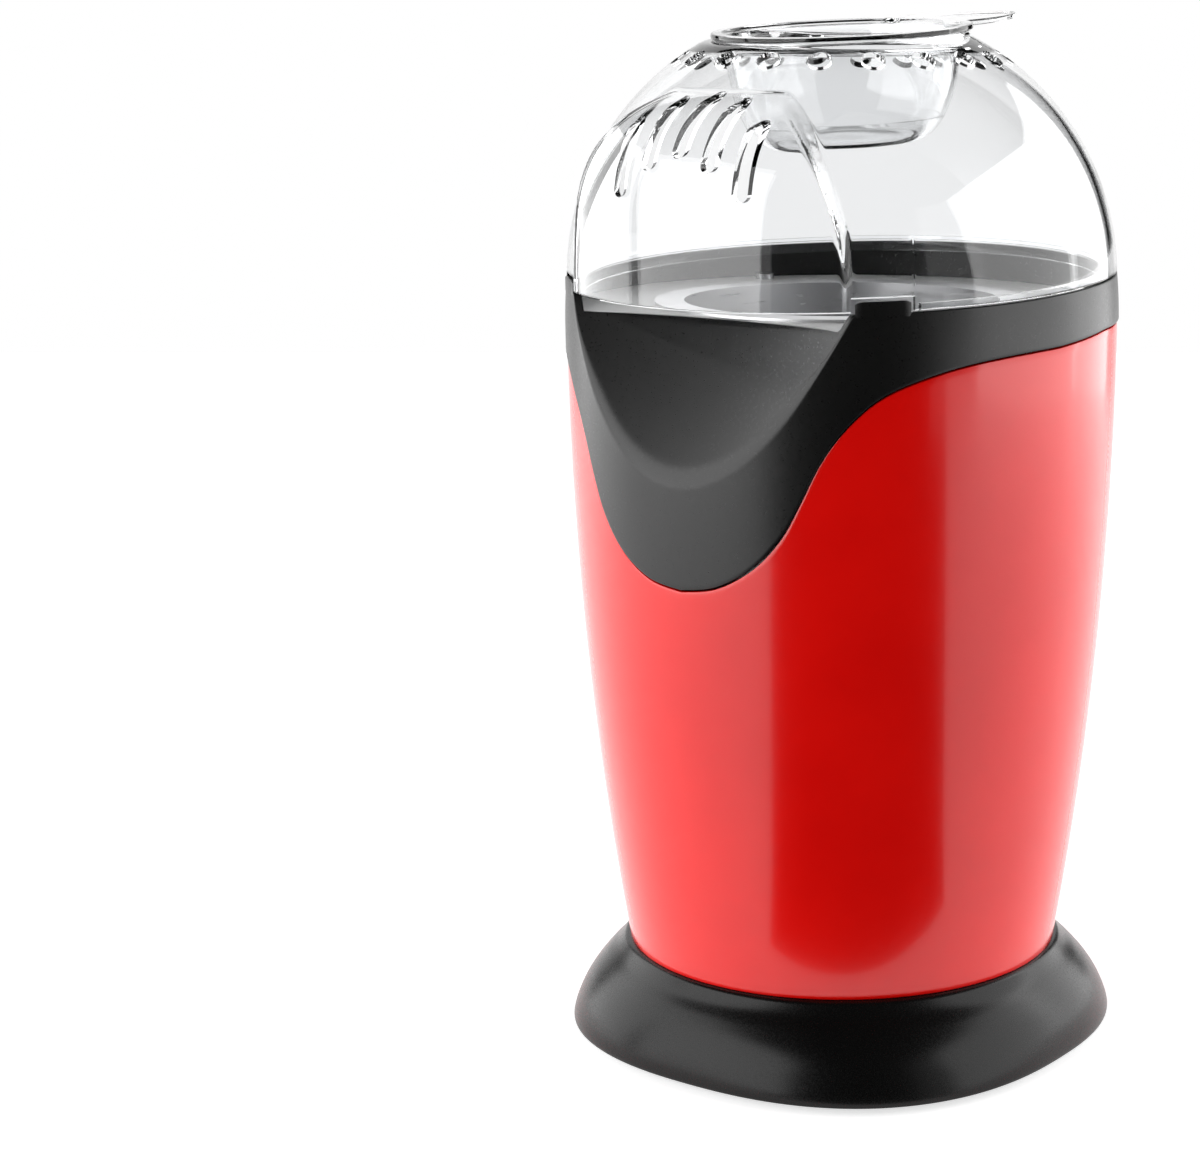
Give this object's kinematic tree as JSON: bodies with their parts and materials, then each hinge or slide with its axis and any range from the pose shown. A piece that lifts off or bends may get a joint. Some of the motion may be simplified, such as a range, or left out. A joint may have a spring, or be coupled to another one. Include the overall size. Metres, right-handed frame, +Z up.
{
  "type": "popcorn maker",
  "caption": "Hot-air popcorn maker with flared base, barrel body, pouring scoop, clear visored hood and a measuring cup that closes it.",
  "frame": {"origin": "on the surface that the feet stand on, under the middle of the body", "axes": "+Z up, -Y towards the front where the scoop pours, +X to the right of someone who looks at the front"},
  "size_m": [0.1624, 0.1624, 0.3047],
  "materials": {
    "rubber": "matte",
    "black_plastic": "satin moulded",
    "red_plastic": "gloss, slight metallic depth",
    "clear_plastic": "clear moulded plastic",
    "pale_plastic": "satin",
    "steel": "zinc plated",
    "aluminium": "satin spun",
    "silicone": "matte",
    "mica": "layered sheet",
    "heater_wire": "oxidised",
    "dark_plastic": "moulded",
    "fan_plastic": "moulded",
    "armature_steel": "laminated",
    "copper": "turned copper",
    "magnet": "sintered",
    "brass": "plain",
    "carbon": "pressed",
    "board_green": "resin board",
    "wire_blue": "insulated"
  },
  "bodies": {
    "housing": {"rubber_feet": "rubber", "bottom_cover": "black_plastic", "base_skirt": "black_plastic", "base_screws": "steel", "body_shell": "red_plastic", "collar_chute": "black_plastic", "top_deck": "pale_plastic", "deck_screws": "steel", "popping_chamber": "aluminium", "chamber_gasket": "silicone", "heat_shield": "steel", "shield_screws": "steel", "mica_boards": "mica", "heater_coil": "heater_wire", "thermal_fuse": "pale_plastic", "thermostat": "dark_plastic", "fan_housing": "dark_plastic", "housing_screws": "steel", "motor_can": "steel", "motor_magnets": "magnet", "motor_end_cap": "dark_plastic", "motor_bushes": "brass", "carbon_brushes": "carbon", "motor_screws": "steel", "rectifier_board": "board_green", "rectifier_diodes": "dark_plastic", "switch_housing": "black_plastic", "switch_terminals": "brass", "cord_gland": "rubber", "cable_clamp": "dark_plastic", "clamp_screws": "steel", "terminal_block": "pale_plastic", "internal_wires": "wire_blue"},
    "hood": {"dome_hood": "clear_plastic"},
    "cup": {"measuring_cup": "clear_plastic"},
    "fan_rotor": {"fan_impeller": "fan_plastic", "motor_shaft": "steel", "armature": "armature_steel", "commutator": "copper"},
    "rocker": {"switch_rocker": "black_plastic"}
  },
  "joints": [
    {"name": "hood_lift", "type": "slide", "parent": "housing", "child": "hood", "axis": [0, 0, 1], "range_m": [0, 0.1]},
    {"name": "cup_lift", "type": "slide", "parent": "hood", "child": "cup", "axis": [0, -0.0698, 0.9976], "range_m": [0, 0.06]},
    {"name": "fan_spin", "type": "hinge", "parent": "housing", "child": "fan_rotor", "pos_m": [0, 0, 0.05], "axis": [0, 0, 1], "continuous": true},
    {"name": "switch_rock", "type": "hinge", "parent": "housing", "child": "rocker", "pos_m": [0, 0.0692, 0.062], "axis": [1, 0, 0], "range_deg": [0, 16]}
  ]
}
